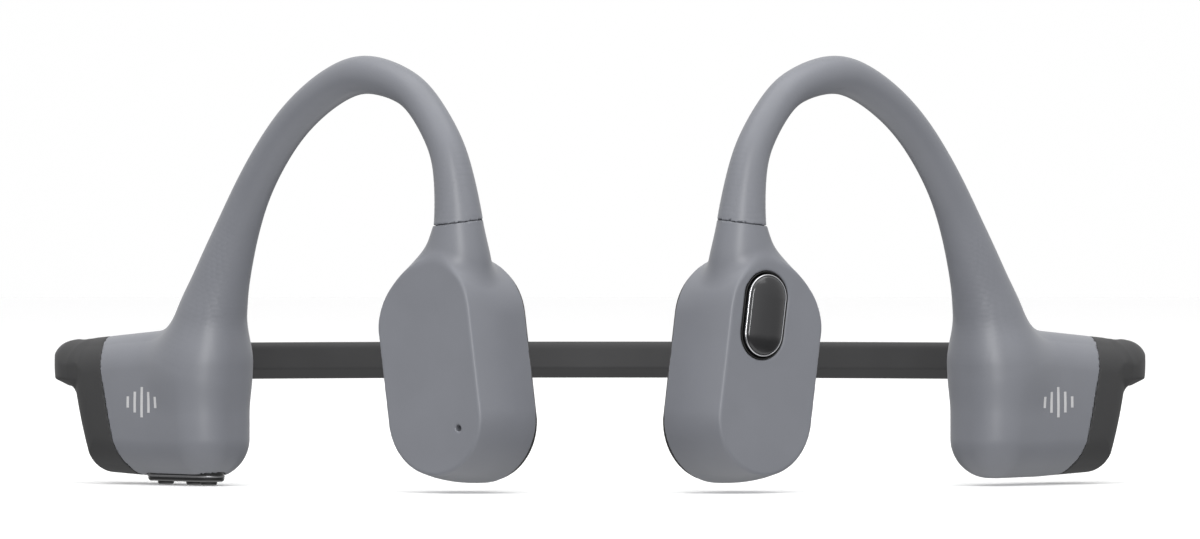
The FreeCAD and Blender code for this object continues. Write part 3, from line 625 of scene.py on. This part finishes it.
CAD_MATERIALS = (("wire", WIRE), ("battery_cell", FOIL), ("board", BOARD), ("pod_case", PLASTIC),
                 ("shield_can", METAL), ("key_switches", METAL), ("charging_port", GLOSS),
                 ("charging_pins", GOLD), ("charging_magnets", NICKEL), ("multifunction_switch", METAL),
                 ("microphone", PLASTIC), ("driver_frame", PLASTIC), ("leaf_spring", METAL),
                 ("voice_coil", COPPER), ("vibration_panel", PLASTIC), ("driver_yoke", METAL),
                 ("driver_magnet", NICKEL), ("pole_plate", METAL), ("band_sleeve", DARK), ("pod_boot", DARK),
                 ("pod_skin", SKIN), ("hook_front", SKIN), ("transducer_housing", SHELL),
                 ("transducer_pad", PAD), ("multifunction_button", CAP), ("multifunction_seal", SEAL),
                 ("button", GLOSS))


def dress_cad():
    """Gives every node that stays from the CAD its own material."""
    for name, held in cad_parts.items():
        chosen = next(made for key, made in CAD_MATERIALS if key in name)
        holder = bpy.data.objects[name] if isinstance(held, str) else held
        for slot in holder.material_slots:
            slot.material = chosen
        if not holder.material_slots:
            holder.data.materials.append(chosen)


# ---- pieces --------------------------------------------------------------------------------------
def make_skins():
    """The grey skin of pod and hook, in one piece across the top of the hook."""
    for side in SIDES:
        points, faces, normals = field_mesh(skin_field(side), (-11, -7, -1), (54, 7, 50.5), GRID)
        piece = make_object(f"{side}_skin", points, faces, side, SKIN, None, normals)
        start, end = from_side([(HOOK_JOINT_FROM, 0, HOOK_TOP_Z), (HOOK_JOINT_TO, 0, HOOK_TOP_Z)], side)
        tuple(start)
        tuple(end)
        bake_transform(piece)
        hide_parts(f"{side}_pod_skin", f"{side}_hook_front")


def make_boots():
    """The dark boot over the rear of the pod, with the last stretch of the band."""
    corner = plan_to_side([[*band_place(BOOT_FROM), BAND_Z]])[0]
    low = (corner[0] - 3, corner[1] - 3, 0)
    points, faces, normals = field_mesh(boot_field, low, (0, 7, 18), GRID)
    for side in SIDES:
        piece = make_object(f"{side}_boot", points, faces, side, DARK, None, normals)
        x, y = band_place(90)
        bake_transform(piece)
        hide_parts(f"{side}_pod_boot")


def band_outline():
    """The band's section as a ring of (out, up) points on its field's zero line."""
    ring = []
    for turn in np.linspace(0, 2 * math.pi, 72, endpoint=False):
        ray = np.array([math.cos(turn), math.sin(turn)])
        near, far = 0.0, 4.0
        for _ in range(30):
            middle = (near + far) / 2
            d = band_profile_field(np.array([ray[0] * middle]), np.array([ray[1] * middle]), BAND_HIGH)[0]
            near, far = (middle, far) if d < 0 else (near, middle)
        ring.append(ray * near)
    return np.array(ring)


def sweep_band(name, first, last, k):
    """One stretch of the band, swept through its turns. k is -1 on the right."""
    ring = band_outline()
    turns = np.linspace(first, last, max(6, int(abs(last - first) * 1.6)))
    points = []
    for turn in turns:
        a = math.radians(abs(turn))
        x, y = band_place(abs(turn))
        s = -1 if turn < 0 else 1
        for out, up in ring:
            across, back = k * s * (x + out * math.sin(a)), y + out * math.cos(a)
            points.append((across * MM, back * MM, (BAND_Z + up) * MM))
    size = len(ring)
    faces = []
    for row in range(len(turns) - 1):
        for i in range(size):
            j = (i + 1) % size
            quad = [row * size + i, row * size + j, (row + 1) * size + j, (row + 1) * size + i]
            faces.append(quad if k > 0 else quad[::-1])
    mesh = bpy.data.meshes.new(name)
    mesh.from_pydata(points, [], faces)
    mesh.shade_smooth()
    mesh.materials.append(DARK)
    piece = bpy.data.objects.new(name, mesh)
    bpy.context.collection.objects.link(piece)
    return piece


def make_band():
    """The band's cover in five stretches."""
    rear, middle, front = BAND_CUTS
    back = sweep_band("band_cover_back", -rear, rear, 1)
    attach(back, "band_back")
    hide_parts("band_sleeve_back")
    for side in SIDES:
        k = 1 if side == "left" else -1
        for name, first, last, bend, bodies, node in (
                ("rear", rear, middle, BAND_BENDS[0], ("band_back", f"{side}_band_mid"), "mid"),
                ("side", middle, front, BAND_BENDS[1], (f"{side}_band_mid", f"{side}_band_side"), "side")):
            piece = sweep_band(f"{side}_band_cover_{name}", first, last, k)
            x, y = band_place(bend)
            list(bodies)
            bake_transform(piece)
            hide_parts(f"{side}_band_sleeve_{node}")


def make_housings():
    """The transducer shells and the soft pads on their inner faces."""
    for side in SIDES:
        points, faces, normals = field_mesh(housing_field(side), (37, -7, 0), (58.5, 6, 31.5), FINE_GRID)
        piece = make_object(f"{side}_housing_shell", points, faces, side, SHELL, f"{side}_earpiece", normals)
        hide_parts(f"{side}_transducer_housing")
        r = PAD_RADIUS
        profile = [(r - 1.0, BACK_N + 0.3), (r - 0.15, BACK_N + 0.25), (r, BACK_N - 0.1), (r, BACK_N - 0.4)]
        for i in range(1, 9):
            a = math.radians(90 * i / 8)
            profile.append((r - PAD_ROUND * (1 - math.cos(a)), PAD_N + PAD_ROUND * (1 - math.sin(a))))
        groove = [(r - 1.6, PAD_N), (r - 1.72, PAD_N + 0.05), (r - 1.8, PAD_N + 0.16),
                  (r - 1.88, PAD_N + 0.05), (r - 2.0, PAD_N)]
        profile += groove + [(r - 3.5, PAD_N), (r - 5.0, PAD_N), (0.6, PAD_N)]
        points, faces = slot_rings((EAR_U, EAR_Z), profile, EAR_TILT, PAD_HALF)
        faces = [f[::-1] for f in faces]
        piece = make_object(f"{side}_soft_pad", points, faces, side, PAD, f"{side}_earpiece")
        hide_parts(f"{side}_transducer_pad")


def make_multifunction():
    """The long button: a dark cup, a bright rim and a domed cap."""
    high = (KEY_HIGH - KEY_WIDE) / 2
    r = KEY_WIDE / 2
    cup = [(r + 0.34, RECESS_N), (r + 0.34, FACE_N - 0.08), (r + 0.28, FACE_N - 0.02),
           (r + 0.22, FACE_N - 0.08), (r + 0.2, FACE_N - 0.3), (r + 0.2, 2.35), (0.5, 2.3)]
    rim = [(r, 2.8), (r, 3.72), (r - 0.04, 3.8), (r - 0.11, 3.83), (r - 0.17, 3.8), (r - 0.2, 3.72)]
    dome = [(r - 0.2, 3.6)]
    for i in range(9, 0, -1):
        reach = (r - 0.22) * i / 9
        dome.append((reach, 4.42 - 0.62 * (reach / r) ** 2.4))
    for name, profile, made, body, node in (
            ("multifunction_cup", cup, SEAL, "left_earpiece", "multifunction_seal"),
            ("multifunction_rim", rim, CHROME, "multifunction_button", None),
            ("multifunction_cap", dome, CAP, "multifunction_button", "multifunction_button")):
        points, faces = slot_rings((KEY_U, KEY_Z), profile, EAR_TILT, high, 96)
        if name == "multifunction_rim":
            faces = faces[:96 * (len(profile) - 1)]
        piece = make_object(name, points, faces, "left", made, body)
        if node:
            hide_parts(node)


def under_pod(points):
    """Points drawn as (u, depth, n) turned so that depth runs down out of the pod's underside."""
    u, depth, n = np.moveaxis(np.asarray(points, float), -1, 0)
    return np.stack([u, n, -depth], -1)


def make_strip():
    """The gloss strip under the right pod, its bright edge and its keys."""
    flat = math.radians(90)
    half = (PLATE_LONG - PLATE_WIDE) / 2
    r = PLATE_WIDE / 2
    strip = [(r, -2.1), (r, -0.75), (r - 0.05, -0.6), (r - 0.25, -PLATE_LOW), (r - 0.9, -PLATE_LOW),
             (0.4, -PLATE_LOW)]
    edge = [(r + 0.04, -1.15), (r + 0.05, -1.12), (r + 0.05, -0.98), (r - 0.01, -0.94)]
    points, faces = slot_rings((PLATE_U, 0), strip, flat, half, 64, under_pod)
    piece = make_object("strip_cover", points, faces, "right", GLOSS, "right_pod")
    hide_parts("button_plate")
    points, faces = slot_rings((PLATE_U, 0), edge, flat, half, 64, under_pod)
    piece = make_object("strip_edge", points, faces[:64 * (len(edge) - 1)], "right", EDGE, "right_pod")
    for name, (u, long) in SMALL_KEYS.items():
        r, half = 0.95, max(long - 1.9, 0.02) / 2
        key = [(r, -1.4), (r, -0.3), (r - 0.05, -0.16), (r - 0.15, -0.07), (r - 0.3, -0.02), (r - 0.6, 0.0),
               (0.2, 0.0)]
        points, faces = slot_rings((u, 0), key, flat, half, 48, under_pod)
        piece = make_object(f"{name}_cap", points, faces, "right", GLOSS, name)
        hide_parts(name)


def make_print():
    """A plain printed mark of five upright bars on each pod's outer face."""
    for side in SIDES:
        points, faces = [], []
        wide = len(PRINT_ACROSS)
        for i, high in enumerate(PRINT_HIGHS):
            first = len(points)
            for row in range(PRINT_ROWS):
                z = PRINT_Z + (row / (PRINT_ROWS - 1) - 0.5) * high
                points += [(PRINT_U + (i - 2) * PRINT_PITCH + across, 0.0, z) for across in PRINT_ACROSS]
            for row, column in product(range(PRINT_ROWS - 1), range(wide - 1)):
                at = first + wide * row + column
                faces.append([at, at + 1, at + wide + 1, at + wide])
        points = np.array(points)
        deep, high = np.full(len(points), 2.0), np.full(len(points), 7.0)
        for _ in range(24):
            points[:, 1] = (deep + high) / 2
            within = merge(pod_field(points), hook_field(points), HOOK_FLOW) < 0
            deep, high = np.where(within, points[:, 1], deep), np.where(within, high, points[:, 1])
        points[:, 1] = deep + 0.02
        piece = make_object(f"{side}_print", points, faces, side, PRINT, f"{side}_pod")


# ---- stage ---------------------------------------------------------------------------------------
def make_stage():
    """A pale floor. Objects take their light from the world below it, so that it casts no glare upwards."""
    made = material("pale_stage", (0.95, 0.95, 0.95), 0.8, (4.0, 0.02), 0.004)
    shader = made.node_tree.nodes["Principled BSDF"]
    shader.inputs["Emission Color"].default_value = (1, 1, 1, 1)
    shader.inputs["Emission Strength"].default_value = 0.12
    mesh = bpy.data.meshes.new("stage")
    reach = 6.0
    corners = [(-reach, -reach, 0), (reach, -reach, 0), (reach, reach, 0), (-reach, reach, 0)]
    mesh.from_pydata(corners, [], [(0, 1, 2, 3)])
    mesh.materials.append(made)
    stage = bpy.data.objects.new("stage", mesh)
    bpy.context.collection.objects.link(stage)
    stage.visible_diffuse = False
    stage.visible_glossy = False


def area_light(name, place, aim, size, power):
    """A rectangular lamp turned towards its aim."""
    data = bpy.data.lights.new(name, "AREA")
    data.shape = "RECTANGLE"
    data.size, data.size_y = size
    data.energy = power
    lamp = bpy.data.objects.new(name, data)
    bpy.context.collection.objects.link(lamp)
    lamp.location = place
    direction = np.subtract(aim, place)
    away = math.atan2(math.hypot(direction[0], direction[1]), -direction[2])
    lamp.rotation_euler = (away, 0, math.atan2(-direction[0], direction[1]))


def make_lights():
    """Soft studio lamps in a pale room that is darker below the horizon and to the sides."""
    for lamp in LAMPS:
        area_light(*lamp)
    world = bpy.data.worlds.new("studio")
    world.use_nodes = True
    nodes, links = world.node_tree.nodes, world.node_tree.links
    where = nodes.new("ShaderNodeTexCoord")
    parts = nodes.new("ShaderNodeSeparateXYZ")
    ramp = nodes.new("ShaderNodeValToRGB")
    low, high = ramp.color_ramp.elements[0], ramp.color_ramp.elements[1]
    low.position, high.position = 0.0, SKY_TOP
    low.color = high.color = (1, 1, 1, 1)
    for place, grey in SKY_STEPS:
        ramp.color_ramp.elements.new(place).color = (grey, grey, grey, 1)
    lift = nodes.new("ShaderNodeMapRange")
    lift.inputs["From Min"].default_value = -1
    links.new(where.outputs["Generated"], parts.inputs["Vector"])
    links.new(parts.outputs["Z"], lift.inputs["Value"])
    links.new(lift.outputs["Result"], ramp.inputs["Fac"])
    sideways = nodes.new("ShaderNodeMath")
    sideways.operation = "POWER"
    sideways.inputs[1].default_value = 2
    shade = nodes.new("ShaderNodeMath")
    shade.operation = "MULTIPLY_ADD"
    shade.inputs[1].default_value = -SKY_SIDE_DIM
    shade.inputs[2].default_value = 1
    dim = nodes.new("ShaderNodeMixRGB")
    dim.blend_type = "MULTIPLY"
    dim.inputs["Fac"].default_value = 1
    links.new(parts.outputs["X"], sideways.inputs[0])
    links.new(sideways.outputs["Value"], shade.inputs[0])
    links.new(ramp.outputs["Color"], dim.inputs["Color1"])
    links.new(shade.outputs["Value"], dim.inputs["Color2"])
    links.new(dim.outputs["Color"], nodes["Background"].inputs["Color"])
    nodes["Background"].inputs["Strength"].default_value = 1.0
    bpy.context.scene.world = world
    bpy.context.scene.view_settings.view_transform = "Standard"


def make_camera():
    """A level camera straight in front of the set."""
    data = bpy.data.cameras.new("camera")
    data.sensor_width = 36.0
    data.lens = CAMERA_LENS
    data.clip_start, data.clip_end = 0.05, 20
    camera = bpy.data.objects.new("camera", data)
    bpy.context.collection.objects.link(camera)
    camera.location = CAMERA_AT
    camera.rotation_euler = (math.radians(90), 0, 0)
    bpy.context.scene.camera = camera


make_camera()
make_stage()
make_lights()
dress_cad()
make_skins()
make_boots()
make_band()
make_housings()
make_multifunction()
make_strip()
make_print()
